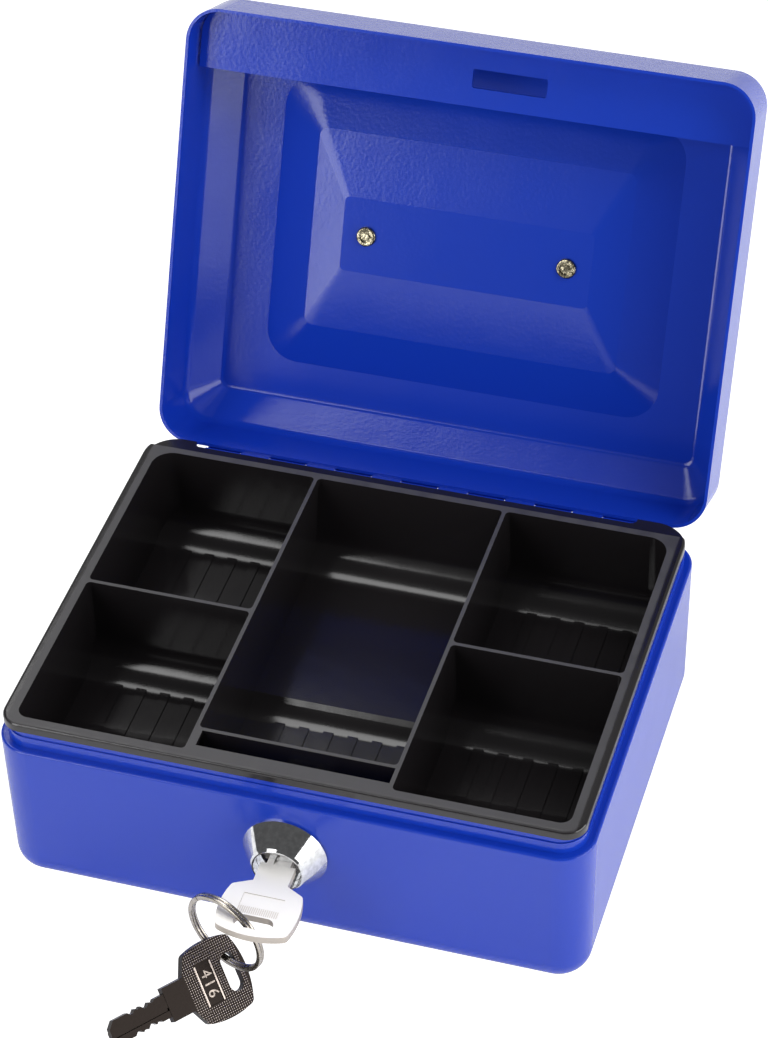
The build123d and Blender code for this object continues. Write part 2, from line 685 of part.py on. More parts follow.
def coin_tray():
    """The moulded tray: rim, six compartments, ribs and the slot for the hook."""
    with BuildPart() as tray:
        add(tray_rim())
        for left, right, front, back, scooped in tray_bins():
            add(bin_block(left, right, front, back, TRAY_WALL, scooped))
        add(centre_block(TRAY_WALL))
        for left, right, front, back, scooped in tray_bins():
            add(bin_block(left, right, front, back, 0, scooped), mode=Mode.SUBTRACT)
            add(bin_ribs(left, right, front, back, scooped))
        add(centre_block(0), mode=Mode.SUBTRACT)
        add(centre_ribs())
        with BuildSketch(Plane.XY.offset(NECK_TOP_Z - ABOVE)):
            with Locations((
                (TRAY_SLOT_LEFT_X + TRAY_SLOT_RIGHT_X) / 2,
                (TRAY_SLOT_FRONT_Y + TRAY_SLOT_BACK_Y) / 2,
            )):
                Rectangle(
                    TRAY_SLOT_RIGHT_X - TRAY_SLOT_LEFT_X,
                    TRAY_SLOT_BACK_Y - TRAY_SLOT_FRONT_Y,
                )
        extrude(amount=3 * ABOVE, mode=Mode.SUBTRACT)
    return tray.part


def sector(radius, low, sweep_angle):
    """A pie slice about the origin, from the angle low, for cutting."""
    with BuildSketch(mode=Mode.PRIVATE) as slice_:
        with BuildLine():
            steps = [low + sweep_angle * i / 4 for i in range(5)]
            rim = [(radius * math.cos(math.radians(a)), radius * math.sin(math.radians(a))) for a in steps]
            Polyline((0, 0), *rim, close=True)
        make_face()
    return slice_.sketch


def tail_outline(grow):
    """Section of the plug's tail at rest: a circle with two flats above and below."""
    with BuildSketch(mode=Mode.PRIVATE) as tail:
        Circle(TAIL_RADIUS + grow)
        Rectangle(2 * TAIL_RADIUS + 2, 2 * (TAIL_HALF_FLAT + grow), mode=Mode.INTERSECT)
    return tail.sketch


def washer_tab():
    with BuildSketch(mode=Mode.PRIVATE) as tab:
        with Locations(Location((0, 0, 0), WASHER_TAB_ANGLE)):
            with Locations(((WASHER_RADIUS + WASHER_TAB_RADIUS) / 2 - 1, 0)):
                Rectangle(WASHER_TAB_RADIUS - WASHER_RADIUS + 2, WASHER_TAB_WIDTH)
    return tab.sketch


def lock_plug():
    """The turning barrel with its keyway, wafer slots, spring pockets and flatted tail."""
    with BuildPart() as plug:
        with BuildSketch(lock_plane(PLUG_BODY_END_Y)):
            Circle(PLUG_RADIUS)
        extrude(amount=PLUG_BODY_END_Y - PLUG_FACE_Y)
        with BuildSketch(lock_plane(PLUG_SEAT_Y)):
            Circle(PLUG_HEAD_RADIUS)
        extrude(amount=PLUG_SEAT_Y - PLUG_FACE_Y)
        with BuildSketch(lock_plane(TAIL_END_Y)):
            add(tail_outline(0))
        extrude(amount=TAIL_END_Y - PLUG_BODY_END_Y)
        with BuildSketch(lock_plane(CLIP_FRONT_Y + CLIP_THICKNESS)):
            Circle(2 * TAIL_RADIUS)
            add(tail_outline(-TAIL_GROOVE), mode=Mode.SUBTRACT)
        extrude(amount=CLIP_THICKNESS, mode=Mode.SUBTRACT)
        with BuildSketch(lock_plane(TAIL_END_Y)):
            Rectangle(2 * KEYWAY_HALF_WIDTH, KEYWAY_HEIGHT)
        extrude(amount=TAIL_END_Y - PLUG_FACE_Y, mode=Mode.SUBTRACT)
        slot = WAFER_THICKNESS + 2 * WAFER_GAP
        for index in range(WAFER_COUNT):
            y = WAFER_FIRST_Y + index * WAFER_PITCH + slot / 2
            with BuildSketch(lock_plane(y)):
                Rectangle(4 * PLUG_RADIUS, 2 * WAFER_HALF_HEIGHT + 2 * WAFER_GAP)
                with Locations((WAFER_FOOT_X - SPRING_LENGTH / 2 + POCKET_SHIFT, SPRING_Z)):
                    Rectangle(POCKET_LENGTH, 2 * SPRING_RADIUS + 0.3)
            extrude(amount=slot, mode=Mode.SUBTRACT)
    return plug.part


def wafer(index):
    """One wafer tumbler: a plate with a window for the blade and a foot for its spring."""
    y = WAFER_FIRST_Y + index * WAFER_PITCH + WAFER_THICKNESS / 2
    with BuildPart() as plate:
        with BuildSketch(lock_plane(y)):
            Circle(WAFER_END_RADIUS)
            Rectangle(2 * WAFER_END_RADIUS, 2 * WAFER_HALF_HEIGHT, mode=Mode.INTERSECT)
            foot_height = -WAFER_FOOT_LOW - WAFER_HALF_HEIGHT + 0.4
            with Locations((WAFER_FOOT_X + WAFER_FOOT_WIDTH / 2, WAFER_FOOT_LOW + foot_height / 2)):
                Rectangle(WAFER_FOOT_WIDTH, foot_height)
            with Locations((-WAFER_TRAVEL / 2, 0)):
                Rectangle(2 * WAFER_WINDOW_HALF + WAFER_TRAVEL, WAFER_WINDOW_HEIGHT, mode=Mode.SUBTRACT)
        extrude(amount=WAFER_THICKNESS)
    return plate.part


def spare_plane():
    """Plane of the spare key: X across the bow, Y towards its far edge."""
    azimuth = math.radians(SPARE_AZIMUTH)
    rise = math.radians(SPARE_RISE)
    roll = math.radians(SPARE_ROLL)
    far = Vector(math.cos(rise) * math.cos(azimuth), math.cos(rise) * math.sin(azimuth), math.sin(rise))
    side = Vector(math.sin(azimuth), -math.cos(azimuth), 0)
    up = side.cross(far)
    across = side * math.cos(roll) + up * math.sin(roll)
    origin = Vector(*SPARE_CENTRE) - far * (BOW_LENGTH / 2)
    return Plane(origin=origin, x_dir=across, z_dir=across.cross(far))


def base_shell(outside):
    """The deep-drawn pan with the flatted hole for the lock."""
    with BuildPart() as shell:
        add(outside)
        shoulder = [e for e in shell.edges() if abs(e.center().Z - SHOULDER_Z) < SMALL]
        rim = [e for e in shoulder if outline_share(e.center()) > OUTER_SHARE]
        fillet(rim, SHOULDER_ROUND)
        add(base_form(SHEET, SHEET, SHOULDER_Z - SHEET, NECK_TOP_Z + ABOVE), mode=Mode.SUBTRACT)
        with BuildSketch(lock_plane(LOCK_WALL_Y + ABOVE)):
            Circle(BARREL_RADIUS + HOLE_GAP)
            Rectangle(2 * BARREL_RADIUS + 1, 2 * (BARREL_FLAT + HOLE_GAP), mode=Mode.INTERSECT)
        extrude(amount=2 * ABOVE, mode=Mode.SUBTRACT)
    return shell.part


def outline_share(point):
    """How far out a point lies in plan: 0.5 is the box's outline."""
    return max(abs(point.X) / BOX_WIDTH, abs(point.Y) / BOX_DEPTH)


def lid_shell(lid_inside):
    """The pressed lid, shut: sheet between two forms, with the recess and the two post holes."""
    with BuildPart() as hollow:
        add(lid_inside)
        add(recess_form(0), mode=Mode.SUBTRACT)
    with BuildPart() as shell:
        add(lid_form(0))
        add(recess_form(SHEET), mode=Mode.SUBTRACT)
        add(hollow.part, mode=Mode.SUBTRACT)
        with BuildSketch(Plane.XY.offset(RIM_Z)):
            with GridLocations(POST_SPACING, 0, 2, 1):
                Circle(POST_SHANK_RADIUS)
        extrude(amount=2 * BORDER_HEIGHT, mode=Mode.SUBTRACT)
    return shell.part


def knuckle_places():
    """Centres of the base's knuckles and of the lid's, which sit between them."""
    half = (BASE_KNUCKLES - 1) / 2
    on_base = [(i - half) * KNUCKLE_PITCH + HINGE_CENTRE_X for i in range(BASE_KNUCKLES)]
    on_lid = [(a + b) / 2 for a, b in zip(on_base, on_base[1:])]
    return on_base, on_lid


def hinge_pin():
    with BuildPart() as pin:
        with BuildSketch(Plane.YZ.offset(HINGE_CENTRE_X - HINGE_LENGTH / 2 - PIN_OVERHANG)):
            with Locations((HINGE_Y, HINGE_Z)):
                Circle(PIN_RADIUS)
        extrude(amount=HINGE_LENGTH + 2 * PIN_OVERHANG)
        chamfer(pin.edges().filter_by(GeomType.CIRCLE), PIN_CHAMFER)
    return pin.part


def latch_ledge(lid_inside):
    """The ledge behind the lid's front wall, lid shut: a folded strip with the hook's slot."""
    front = -BACK_Y + SHEET
    with BuildPart() as ledge:
        with BuildSketch(Plane.YZ.offset(-LEDGE_WIDTH / 2)) as fold:
            with BuildLine():
                Polyline(
                    (LEDGE_BACK_Y, LEDGE_Z),
                    (front, LEDGE_Z),
                    (front, LEDGE_FLANGE_TOP_Z),
                    (front + SHEET, LEDGE_FLANGE_TOP_Z),
                    (front + SHEET, LEDGE_Z + SHEET),
                    (LEDGE_BACK_Y, LEDGE_Z + SHEET),
                    close=True,
                )
            make_face()
            outer = fold.vertices().sort_by_distance(Vector(front, LEDGE_Z))[0]
            fillet(outer, LEDGE_BEND)
            inner = fold.vertices().sort_by_distance(Vector(front + SHEET, LEDGE_Z + SHEET))[0]
            fillet(inner, LEDGE_BEND - SHEET)
        extrude(amount=LEDGE_WIDTH)
        with BuildSketch(Plane.XY.offset(LEDGE_Z)) as plan:
            with Locations((0, (LEDGE_BACK_Y + front) / 2)):
                Rectangle(LEDGE_WIDTH, LEDGE_BACK_Y - front)
            fillet(plan.vertices().group_by(Axis.Y)[0], LEDGE_CORNER)
        extrude(amount=LEDGE_FLANGE_TOP_Z - LEDGE_Z, mode=Mode.INTERSECT)
        with BuildSketch(Plane.XY.offset(LEDGE_Z + LEDGE_BEND)):
            with GridLocations(2 * LEDGE_FLANGE_HALF + ABOVE, 0, 2, 1):
                Rectangle(ABOVE, BOX_DEPTH)
        extrude(amount=LEDGE_FLANGE_TOP_Z - LEDGE_Z, mode=Mode.SUBTRACT)
        add(lid_inside, mode=Mode.INTERSECT)
        with BuildSketch(Plane.XY.offset(LEDGE_Z)):
            with Locations(((SLOT_LEFT_X + SLOT_RIGHT_X) / 2, (SLOT_FRONT_Y + SLOT_BACK_Y) / 2)):
                RectangleRounded(SLOT_RIGHT_X - SLOT_LEFT_X, SLOT_BACK_Y - SLOT_FRONT_Y, SLOT_CORNER)
        extrude(amount=SHEET, mode=Mode.SUBTRACT)
    return ledge.part


def barrel_section():
    """Section of the lock body's barrel: a circle with flats above and below."""
    with BuildSketch(mode=Mode.PRIVATE) as section:
        Circle(BARREL_RADIUS)
        Rectangle(2 * BARREL_RADIUS, 2 * BARREL_FLAT, mode=Mode.INTERSECT)
    return section.sketch


def lock_body(outside):
    """The lock's fixed body: conical front, flatted barrel, bore, wafer grooves and stop rim."""
    with BuildPart() as body:
        with BuildSketch(Plane.XY.offset(LOCK_Z)):
            with BuildLine():
                Polyline(
                    (0, BEZEL_FRONT_Y),
                    (BEZEL_FRONT_RADIUS - BEZEL_EDGE, BEZEL_FRONT_Y),
                    (BEZEL_FRONT_RADIUS, BEZEL_FRONT_Y + BEZEL_EDGE),
                    (BEZEL_WALL_RADIUS, LOCK_WALL_Y - BEZEL_FOOT),
                    (BEZEL_WALL_RADIUS, LOCK_WALL_Y),
                    (0, LOCK_WALL_Y),
                    close=True,
                )
            make_face()
        revolve(axis=Axis((0, 0, LOCK_Z), (0, 1, 0)))
        add(outside, mode=Mode.SUBTRACT)
        with BuildSketch(lock_plane(BARREL_END_Y)):
            add(barrel_section())
        extrude(amount=BARREL_END_Y - PLUG_FACE_Y)
        with BuildSketch(lock_plane(STOP_RIM_END_Y)):
            add(barrel_section())
            Circle(STOP_RIM_INNER_RADIUS, mode=Mode.SUBTRACT)
            add(sector(2 * BARREL_RADIUS, STOP_SECTOR_LOW, STOP_SECTOR_SWEEP), mode=Mode.SUBTRACT)
        extrude(amount=STOP_RIM_END_Y - BARREL_END_Y)
        with BuildSketch(lock_plane(BARREL_END_Y)):
            Circle(BORE_RADIUS)
        extrude(amount=BARREL_END_Y - BEZEL_FRONT_Y, mode=Mode.SUBTRACT)
        with BuildSketch(lock_plane(PLUG_SEAT_Y)):
            Circle(MOUTH_RADIUS)
        extrude(amount=PLUG_SEAT_Y - BEZEL_FRONT_Y, mode=Mode.SUBTRACT)
        groove_length = (WAFER_COUNT - 1) * WAFER_PITCH + WAFER_THICKNESS + 2 * GROOVE_END_GAP
        groove_end = WAFER_FIRST_Y - WAFER_THICKNESS / 2 - GROOVE_END_GAP + groove_length
        with BuildSketch(lock_plane(groove_end)):
            Rectangle(2 * GROOVE_RADIUS, 2 * GROOVE_HALF_HEIGHT)
            Rectangle(2 * GROOVE_HALF_HEIGHT, 2 * CROSS_GROOVE_RADIUS)
            Circle(BORE_RADIUS)
        extrude(amount=groove_length, mode=Mode.SUBTRACT)
    return body.part


def lock_nut():
    """The nut that clamps the body, seated on the inner face of the drafted wall."""
    with BuildPart() as nut:
        with BuildSketch(lock_plane(NUT_FRONT_Y + NUT_THICKNESS)):
            RegularPolygon(NUT_FLATS / 2, 6, major_radius=False)
            Circle(BARREL_RADIUS + NUT_GAP, mode=Mode.SUBTRACT)
        extrude(amount=NUT_THICKNESS + SHEET)
        add(base_form(SHEET, SHEET, SHOULDER_Z - SHEET, NECK_TOP_Z), mode=Mode.INTERSECT)
    return nut.part


def wafer_springs():
    """Four springs at their pressed length, each beside the foot of its wafer."""
    end_x = WAFER_FOOT_X - SPRING_LENGTH
    with BuildPart() as springs:
        for index in range(WAFER_COUNT):
            end = (end_x, WAFER_FIRST_Y + index * WAFER_PITCH, LOCK_Z + SPRING_Z)
            with BuildSketch(Plane(origin=end, x_dir=(0, 1, 0), z_dir=(1, 0, 0))):
                Circle(SPRING_RADIUS)
            extrude(amount=SPRING_LENGTH)
    return springs.part


def stop_washer():
    """Washer keyed to the tail, with a tab that runs in the gap of the body's rim."""
    with BuildPart() as washer:
        with BuildSketch(lock_plane(WASHER_FRONT_Y + WASHER_THICKNESS)):
            Circle(WASHER_RADIUS)
            add(washer_tab())
            add(tail_outline(KEYED_GAP), mode=Mode.SUBTRACT)
        extrude(amount=WASHER_THICKNESS)
    return washer.part


def on_circle(radius, x):
    """The upper point of a circle about the lock's axis at x."""
    return x, math.sqrt(radius**2 - x**2)


def hook_cam():
    """The hook, drawn as it stands when locked and turned a quarter to its unlocked rest."""
    beak_inner = on_circle(CAM_BEAK_INNER, CAM_BEAK_LEFT)
    beak_outer = on_circle(CAM_BEAK_OUTER, CAM_BEAK_LEFT + CAM_BEAK_TAPER)
    arm_inner = on_circle(CAM_BEAK_INNER, CAM_ARM_LEFT)
    arm_outer = on_circle(CAM_BEAK_OUTER, CAM_ARM_RIGHT - CAM_SHOULDER)
    waist = (CAM_ARM_RIGHT, CAM_WAIST_HEIGHT)
    with BuildPart() as cam:
        with BuildSketch(lock_plane(CAM_FRONT_Y + CAM_THICKNESS)):
            Circle(CAM_HUB_RADIUS)
            with BuildLine():
                Polyline(arm_inner, (CAM_ARM_LEFT, 0), (CAM_HUB_RADIUS, 0), waist)
                Polyline(waist, (CAM_ARM_RIGHT, arm_outer[1] - CAM_SHOULDER), arm_outer)
                ThreePointArc(arm_outer, (0, CAM_BEAK_OUTER), beak_outer)
                Line(beak_outer, beak_inner)
                ThreePointArc(beak_inner, (0, CAM_BEAK_INNER), arm_inner)
            make_face()
            add(tail_outline(KEYED_GAP).rotate(Axis.Z, 90), mode=Mode.SUBTRACT)
        extrude(amount=CAM_THICKNESS)
    return cam.part.rotate(Axis((0, 0, LOCK_Z), (0, 1, 0)), 90)


def cam_clip():
    """Retaining ring in the groove of the tail, open below."""
    with BuildPart() as clip:
        with BuildSketch(lock_plane(CLIP_FRONT_Y + CLIP_THICKNESS)):
            Circle(CLIP_RADIUS)
            add(tail_outline(-TAIL_GROOVE), mode=Mode.SUBTRACT)
            with Locations((0, -CLIP_RADIUS)):
                Rectangle(2 * (TAIL_HALF_FLAT - TAIL_GROOVE) - 2, 2 * CLIP_RADIUS, mode=Mode.SUBTRACT)
        extrude(amount=CLIP_THICKNESS)
    return clip.part


def key_ring():
    """A split ring of two flat turns, with the wire's two ends showing as notches."""
    turn_width = RING_WIDTH / 2
    with BuildPart() as ring:
        with BuildSketch(Plane.XZ):
            with Locations((RING_RADIUS, turn_width / 2), (RING_RADIUS, -turn_width / 2)):
                RectangleRounded(RING_THICKNESS, turn_width + RING_JOIN, RING_EDGE)
        revolve(axis=Axis.Z)
        for angle, side in zip(RING_END_ANGLES, (1, -1)):
            with BuildSketch(Plane.XY):
                with Locations(Location((0, 0, 0), angle)):
                    with Locations((RING_RADIUS, 0)):
                        Rectangle(2 * RING_THICKNESS, RING_END_GAP)
            extrude(amount=side * RING_WIDTH, mode=Mode.SUBTRACT)
    return Plane(origin=RING_CENTRE, z_dir=RING_NORMAL).location * ring.part


def main():
    os.makedirs("parts", exist_ok=True)
    outside = base_form(0, 0, SHOULDER_Z, NECK_TOP_Z)
    lid_inside = lid_form(SHEET)
    on_base, on_lid = knuckle_places()

    export(base_shell(outside), "base_shell")
    leaf = hinge_leaf(on_base, BASE_KNUCKLE_WIDTH, LEAF_LOW_Z, -1)
    with BuildPart() as seated_leaf:
        add(leaf)
        add(outside, mode=Mode.SUBTRACT)
    export(seated_leaf.part, "hinge_leaf_base")
    export(hinge_pin(), "hinge_pin")
    export(coin_tray(), "coin_tray")

    export(opened(lid_shell(lid_inside)), "lid_shell")
    export(opened(hinge_leaf(on_lid, LID_KNUCKLE_WIDTH, LEAF_HIGH_Z, 1)), "hinge_leaf_lid")
    export(opened(latch_ledge(lid_inside)), "latch_ledge")
    export(opened(handle_post(-1)), "handle_post_left")
    export(opened(handle_post(1)), "handle_post_right")
    export(handle_bail(), "handle_bail")

    export(lock_body(outside), "lock_body")
    export(lock_nut(), "lock_nut")
    export(lock_plug(), "lock_plug")
    for index in range(WAFER_COUNT):
        export(wafer(index), f"wafer_{index + 1}")
    export(wafer_springs(), "wafer_springs")
    export(stop_washer(), "stop_washer")
    export(hook_cam(), "hook_cam")
    export(cam_clip(), "cam_clip")

    blank = key_blank()
    in_lock = Plane(origin=(0, KEY_JUNCTION_Y, LOCK_Z), x_dir=(1, 0, 0), z_dir=(0, 0, -1))
    export(in_lock.location * blank, "key_in_lock")
    export(spare_plane().location * blank, "spare_key")
    export(key_ring(), "key_ring")


main()
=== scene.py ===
"""The looks of a small blue steel cash box, standing open on a white floor with its two keys."""

import math

import bmesh
import bpy
from mathutils import Matrix, Vector


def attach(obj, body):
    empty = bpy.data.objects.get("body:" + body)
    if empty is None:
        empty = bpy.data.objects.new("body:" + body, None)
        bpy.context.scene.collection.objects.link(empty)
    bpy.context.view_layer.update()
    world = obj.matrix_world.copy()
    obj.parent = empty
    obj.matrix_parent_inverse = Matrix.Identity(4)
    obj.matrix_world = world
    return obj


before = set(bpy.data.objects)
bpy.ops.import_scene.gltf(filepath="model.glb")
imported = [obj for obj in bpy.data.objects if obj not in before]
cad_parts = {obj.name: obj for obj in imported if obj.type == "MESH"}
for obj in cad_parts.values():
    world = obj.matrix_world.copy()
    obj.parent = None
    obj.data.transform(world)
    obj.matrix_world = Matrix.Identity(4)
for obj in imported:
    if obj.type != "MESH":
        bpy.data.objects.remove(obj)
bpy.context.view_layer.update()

# Camera, worked out from the corners of the box: metres, radians, and the lens in millimetres
CAMERA_PLACE = Vector((0.203264, -0.606259, 0.641485))
CAMERA_YAW = 0.3104
CAMERA_PITCH = -0.7148
CAMERA_ROLL = -0.0300
CAMERA_CLIP = 0.01
FOCAL_PIXELS = 3436.6
FRAME_LONG_SIDE = 1038
SENSOR_WIDTH = 36.0

# Studio: metres, radiances, and directions from the box as azimuth (0 front, + right) and height
STUDIO_CENTRE = Vector((0.0, 0.0, 0.1))
LIGHT_DISTANCE = 2.0
WHITE = (1.0, 1.0, 1.0, 1.0)
BRIGHT_SIDE = (0.0, 0.9, 0.43)
BRIGHT_SIDE_FROM = 0.2
BRIGHT_SIDE_TO = 0.9
DARK_SIDE_GLOW = 0.1
BRIGHT_SIDE_GLOW = 0.3
FLOOR_SIZE = 8.0
FLOOR_LEVEL = -0.0001
BACKDROP_RADIUS = 3.9
BACKDROP_SUBDIVISIONS = 4
PAPER_WHITE = (0.9, 0.9, 0.9, 1.0)
PAPER_ROUGHNESS = 0.9
PAPER_GLOW = 0.25
OVEREXPOSED_GLOW = 1.0

# Relief and speckle are noise: cells per metre, then the bump's strength and its height in metres
FINE_RELIEF = 0.0001
NOISE_DETAIL = 2.0
SMOOTH_DETAIL = 1.0
ROUGH_DETAIL = 4.0

# Sockets of the Mix node that carry colours, by their number
MIX_FIRST = 6
MIX_SECOND = 7
MIX_RESULT = 2

# Blue powder coat
BLUE = (0.007, 0.043, 0.46, 1.0)
COAT_ROUGHNESS = 0.17
COAT_WAVES = (60.0, 0.2, 0.0005)
COAT_PEEL = (1000.0, 0.12, 0.0002)
NIB_BLUE = (0.002, 0.006, 0.08, 1.0)
NIB_SCALE = 70.0
NIB_RARITY = 0.9
NIB_RADIUS = 0.035

# Tray: its own black, and its upward-facing top edges above a height and inside the rim, painted
# paler grey in uneven patches as a painted sheen of light from above
TRAY_BLACK = (0.012, 0.0105, 0.0115, 1.0)
TRAY_ROUGHNESS = 0.15
POLYSTYRENE_IOR = 1.59
TRAY_WAVES = (130.0, 0.1, 0.0004)
TRAY_GRAIN = (1500.0, 0.06, FINE_RELIEF)
TRAY_EDGE_SHEEN_GREY = (0.048, 0.046, 0.050, 1.0)
TRAY_EDGE_ROUGHNESS = 0.5
TRAY_EDGE_HEIGHT = 0.0475
TRAY_EDGE_SIDE = 0.0726
TRAY_EDGE_BACK = 0.0530
TRAY_EDGE_SOFT = 0.0008
LEVEL_FROM = 0.55
LEVEL_TO = 0.95
SHEEN_PATCH_SCALE = 220.0
SHEEN_PATCH_FROM = 0.35
SHEEN_PATCH_TO = 0.6
SHEEN_PATCH_LEAST = 0.7

# Metals, as colour and roughness
CHROME = ((0.82, 0.83, 0.85), 0.07)
RING_NICKEL = ((0.52, 0.48, 0.42), 0.24)
BRIGHT_STEEL = ((0.62, 0.62, 0.62), 0.22)
YELLOW_ZINC = ((0.62, 0.56, 0.40), 0.2)
WHITE_ZINC = ((0.6, 0.61, 0.63), 0.3)
BRASS = ((0.75, 0.56, 0.25), 0.25)
NUMBER_STEEL = ((0.36, 0.31, 0.27), 0.35)

# Metals are uneven in patches larger than their grain, from dark and dull to bright and glossy
METAL_GRAIN = 2500.0
METAL_GRAIN_STRENGTH = 0.05
METAL_DARKEST = 0.8
PATCH_TO_GRAIN = 3
PATCH_FROM = 0.38
PATCH_TO = 0.62
DULL_PATCH = 1.25
GLOSSY_PATCH = 0.85
POST_GRAIN = 2400.0
POST_GRAIN_STRENGTH = 0.9
POST_DARKEST = 0.15

# Keys: the plane of each, as in the solids, in metres
BOW_LENGTH = 0.0176
PANEL_PLACE = 0.00645
PANEL_HALF_WIDTH = 0.0052
PANEL_HALF_HEIGHT = 0.00205
PANEL_MARGIN = 0.0004
PANEL_FLOOR = 0.0008
SPARE_CENTRE = Vector((-0.00996, -0.08692, 0.00888))
SPARE_AZIMUTH = math.radians(56.2)
SPARE_RISE = math.radians(-6.0)
SPARE_ROLL = math.radians(-48.5)

# Spare key's gunmetal, cross-hatched on the faces of the bow, the raised hatch and the panel's
# frame lines painted paler as painted highlights
GUNMETAL = (0.020, 0.016, 0.014, 1.0)
GUNMETAL_HATCH_HIGHLIGHT = (0.50, 0.43, 0.38, 1.0)
GUNMETAL_ROUGHNESS = 0.34
GUNMETAL_GRAIN = (900.0, 0.1, FINE_RELIEF)
HATCH_PITCH = 0.00062
HATCH_FROM = -0.1
HATCH_TO = 0.8
HATCH_STRENGTH = 0.5
HATCH_NEAR_EDGE = 0.0006
HATCH_FAR_EDGE = 0.0008
HATCH_FACING = 0.9

# Number standing in the spare key's panel
NUMBER = "416"
NUMBER_HEIGHT = 0.0042
NUMBER_RELIEF = 0.0001
NUMBER_SPACING = 1.2
NUMBER_RESOLUTION = 4

# Nickel of the key in the lock, with its ribbed patch, and its side edges painted darker as
# painted shade
NICKEL = (0.95, 0.93, 0.90, 1.0)
NICKEL_RIBS_DARKER = (0.74, 0.69, 0.62, 1.0)
NICKEL_EDGE_SHADE = (0.50, 0.45, 0.40, 1.0)
NICKEL_ROUGHNESS = 0.36
NICKEL_METALLIC = 0.2
NICKEL_GRAIN = (1200.0, 0.06, FINE_RELIEF)
FACE_FROM = 0.3
FACE_TO = 0.9
RIBBED_PLACE = (0.0, -0.0810, 0.0)
RIBBED_HALF_SIZE = (0.0052, 0.0011)
RIB_PITCH = 0.00052
RIB_EDGE = 0.6
RIB_STRENGTH = 0.4


class Shader:
    """Short ways to make the nodes of a material or a world, in metres and object coordinates."""

    def __init__(self, tree):
        self.tree = tree
        self.principled = tree.nodes.get("Principled BSDF")

    def node(self, kind, **values):
        """A node with its settings and its unlinked inputs."""
        node = self.tree.nodes.new(kind)
        for key, value in values.items():
            if key in node.inputs:
                node.inputs[key].default_value = value
            else:
                setattr(node, key, value)
        return node

    def feed(self, socket, value):
        """Links a socket to another one, or gives it a plain value."""
        if isinstance(value, bpy.types.NodeSocket):
            self.tree.links.new(value, socket)
        else:
            socket.default_value = value

    def set(self, name, value):
        self.feed(self.principled.inputs[name], value)

    def place(self, kind="Object"):
        return self.node("ShaderNodeTexCoord").outputs[kind]

    def part(self, vector, axis):
        split = self.node("ShaderNodeSeparateXYZ")
        self.feed(split.inputs["Vector"], vector)
        return split.outputs[axis]

    def math(self, operation, first, second=0.0):
        node = self.node("ShaderNodeMath", operation=operation)
        self.feed(node.inputs[0], first)
        self.feed(node.inputs[1], second)
        return node.outputs["Value"]

    def size(self, value):
        return self.math("ABSOLUTE", value)

    def less(self, value, limit):
        return self.math("LESS_THAN", value, limit)

    def more(self, value, limit):
        return self.math("GREATER_THAN", value, limit)

    def difference(self, first, second):
        node = self.node("ShaderNodeVectorMath", operation="SUBTRACT")
        self.feed(node.inputs[0], first)
        self.feed(node.inputs[1], second)
        return node.outputs["Vector"]

    def along(self, first, second):
        """Dot product, such as a place measured along a direction."""
        node = self.node("ShaderNodeVectorMath", operation="DOT_PRODUCT")
        self.feed(node.inputs[0], first)
        self.feed(node.inputs[1], second)
        return node.outputs["Value"]

    def ramp(self, value, low, high, low_value=0.0, high_value=1.0):
        node = self.node("ShaderNodeMapRange")
        for name, number in zip(
            ("Value", "From Min", "From Max", "To Min", "To Max"),
            (value, low, high, low_value, high_value),
        ):
            self.feed(node.inputs[name], number)
        return node.outputs["Result"]

    def wave(self, value, pitch):
        turns = self.math("MULTIPLY", value, 2 * math.pi / pitch)
        return self.math("SINE", turns)

    def noise(self, scale, detail=NOISE_DETAIL):
        node = self.node("ShaderNodeTexNoise", Scale=scale, Detail=detail)
        self.feed(node.inputs["Vector"], self.place())
        return node.outputs["Fac"]

    def mix(self, share, first, second):
        node = self.node("ShaderNodeMix", data_type="RGBA")
        self.feed(node.inputs["Factor"], share)
        self.feed(node.inputs[MIX_FIRST], first)
        self.feed(node.inputs[MIX_SECOND], second)
        return node.outputs[MIX_RESULT]

    def all_of(self, *conditions):
        result = conditions[0]
        for condition in conditions[1:]:
            result = self.math("MULTIPLY", result, condition)
        return result

    def bump(self, height, strength, distance=FINE_RELIEF):
        """Adds relief over any that is there already."""
        node = self.node("ShaderNodeBump", Strength=strength, Distance=distance)
        self.feed(node.inputs["Height"], height)
        before = self.principled.inputs["Normal"]
        if before.is_linked:
            self.feed(node.inputs["Normal"], before.links[0].from_socket)
        self.set("Normal", node.outputs["Normal"])

    def relief(self, scale, strength, distance, detail=NOISE_DETAIL):
        self.bump(self.noise(scale, detail), strength, distance)


def make_camera():
    """The camera at the photograph's viewing angle."""
    forward = Vector(
        (
            -math.sin(CAMERA_YAW) * math.cos(CAMERA_PITCH),
            math.cos(CAMERA_YAW) * math.cos(CAMERA_PITCH),
            math.sin(CAMERA_PITCH),
        )
    )
    level = Vector((math.cos(CAMERA_YAW), math.sin(CAMERA_YAW), 0.0))
    upright = level.cross(forward)
    right = math.cos(CAMERA_ROLL) * level + math.sin(CAMERA_ROLL) * upright
    up = -math.sin(CAMERA_ROLL) * level + math.cos(CAMERA_ROLL) * upright
    data = bpy.data.cameras.new("camera")
    data.sensor_width = SENSOR_WIDTH
    data.lens = FOCAL_PIXELS * SENSOR_WIDTH / FRAME_LONG_SIDE
    data.clip_start = CAMERA_CLIP
    camera = bpy.data.objects.new("camera", data)
    turn = Matrix((right, up, -forward)).transposed().to_4x4()
    camera.matrix_world = Matrix.Translation(CAMERA_PLACE) @ turn
    bpy.context.scene.collection.objects.link(camera)
    bpy.context.scene.camera = camera


